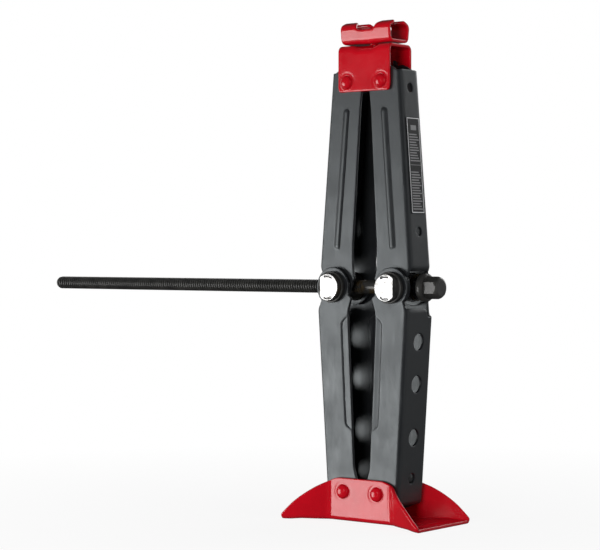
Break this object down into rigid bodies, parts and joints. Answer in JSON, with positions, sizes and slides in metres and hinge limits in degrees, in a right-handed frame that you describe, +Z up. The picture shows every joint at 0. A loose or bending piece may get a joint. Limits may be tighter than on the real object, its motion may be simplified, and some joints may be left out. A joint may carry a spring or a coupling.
{
  "type": "scissor stabilizer jack",
  "caption": "Screw-driven scissor jack: folding channel arms on a flared steel base, cross trunnions, a long lead screw with hexagonal drive head, and a slotted saddle on a head bracket.",
  "frame": {"origin": "centre of the base plate's underside", "axes": "+X along the lead screw towards its hexagonal drive head, +Y along the hinge pins towards the back, +Z up"},
  "size_m": [0.4111, 0.0726, 0.385],
  "materials": {
    "red_paint": "glossy red enamel with slight orange peel",
    "black_powder_coat": "satin black powder coat",
    "black_phosphate_steel": "oiled black phosphate",
    "machined_steel": "bright machined",
    "zinc_plated_steel": "dull zinc plate",
    "bearing_steel": "ground and polished",
    "brass_cage": "satin",
    "label_film": "black film with a pale border"
  },
  "bodies": {
    "base": {"base_plate": "red_paint", "base_pivot_rivet_left": "red_paint", "base_pivot_rivet_right": "red_paint"},
    "lower_arm_right": {"lower_arm_right": "black_powder_coat"},
    "lower_arm_left": {"lower_arm_left": "black_powder_coat"},
    "upper_arm_right": {"upper_arm_right": "black_powder_coat", "label_plate": "label_film"},
    "upper_arm_left": {"upper_arm_left": "black_powder_coat"},
    "thrust_block": {"thrust_trunnion": "machined_steel", "trunnion_collar_right_front": "black_phosphate_steel", "trunnion_collar_right_back": "black_phosphate_steel", "spacer_washer_right_front": "zinc_plated_steel", "spacer_washer_right_back": "zinc_plated_steel", "thrust_race_inner": "bearing_steel", "ball_cage": "brass_cage", "thrust_ball_1": "bearing_steel", "thrust_ball_2": "bearing_steel", "thrust_ball_3": "bearing_steel", "thrust_ball_4": "bearing_steel", "thrust_ball_5": "bearing_steel", "thrust_ball_6": "bearing_steel", "thrust_ball_7": "bearing_steel", "thrust_ball_8": "bearing_steel"},
    "nut": {"nut_trunnion": "machined_steel", "trunnion_collar_left_front": "black_phosphate_steel", "trunnion_collar_left_back": "black_phosphate_steel", "spacer_washer_left_front": "zinc_plated_steel", "spacer_washer_left_back": "zinc_plated_steel"},
    "screw": {"lead_screw": "black_phosphate_steel", "thrust_race_outer": "bearing_steel", "screw_lock_ring": "zinc_plated_steel"},
    "head": {"top_bracket": "red_paint", "head_pivot_rivet_left": "red_paint", "head_pivot_rivet_right": "red_paint", "saddle_rivet": "red_paint"},
    "saddle": {"saddle": "red_paint"}
  },
  "joints": [
    {"name": "fold", "type": "hinge", "parent": "base", "child": "lower_arm_right", "pos_m": [0.016, 0, 0.0235], "axis": [0, 1, 0], "range_deg": [0, 79]},
    {"name": "fold_left", "type": "hinge", "parent": "base", "child": "lower_arm_left", "pos_m": [-0.016, 0, 0.0235], "axis": [0, 1, 0], "range_deg": [-79, 0]},
    {"name": "upper_fold_right", "type": "hinge", "parent": "lower_arm_right", "child": "upper_arm_right", "pos_m": [0.0277, 0, 0.1809], "axis": [0, 1, 0], "range_deg": [-158, 0]},
    {"name": "upper_fold_left", "type": "hinge", "parent": "lower_arm_left", "child": "upper_arm_left", "pos_m": [-0.0277, 0, 0.1809], "axis": [0, 1, 0], "range_deg": [0, 158]},
    {"name": "block_level", "type": "hinge", "parent": "lower_arm_right", "child": "thrust_block", "pos_m": [0.0277, 0, 0.1809], "axis": [0, 1, 0], "range_deg": [-79, 0]},
    {"name": "nut_level", "type": "hinge", "parent": "lower_arm_left", "child": "nut", "pos_m": [-0.0277, 0, 0.1809], "axis": [0, 1, 0], "range_deg": [0, 79]},
    {"name": "head_level", "type": "hinge", "parent": "upper_arm_right", "child": "head", "pos_m": [0.016, 0, 0.3383], "axis": [0, 1, 0], "range_deg": [0, 79]},
    {"name": "screw_spin", "type": "hinge", "parent": "thrust_block", "child": "screw", "pos_m": [0.0277, 0, 0.1809], "axis": [1, 0, 0], "continuous": true},
    {"name": "saddle_swivel", "type": "hinge", "parent": "head", "child": "saddle", "pos_m": [0, 0, 0.3679], "axis": [0, 0, 1], "continuous": true}
  ],
  "couplings": [
    {"joint": "fold_left", "follows": "fold", "ratio": -1},
    {"joint": "upper_fold_right", "follows": "fold", "ratio": -2},
    {"joint": "upper_fold_left", "follows": "fold", "ratio": 2},
    {"joint": "block_level", "follows": "fold", "ratio": -1},
    {"joint": "nut_level", "follows": "fold", "ratio": 1},
    {"joint": "head_level", "follows": "fold", "ratio": 1}
  ]
}
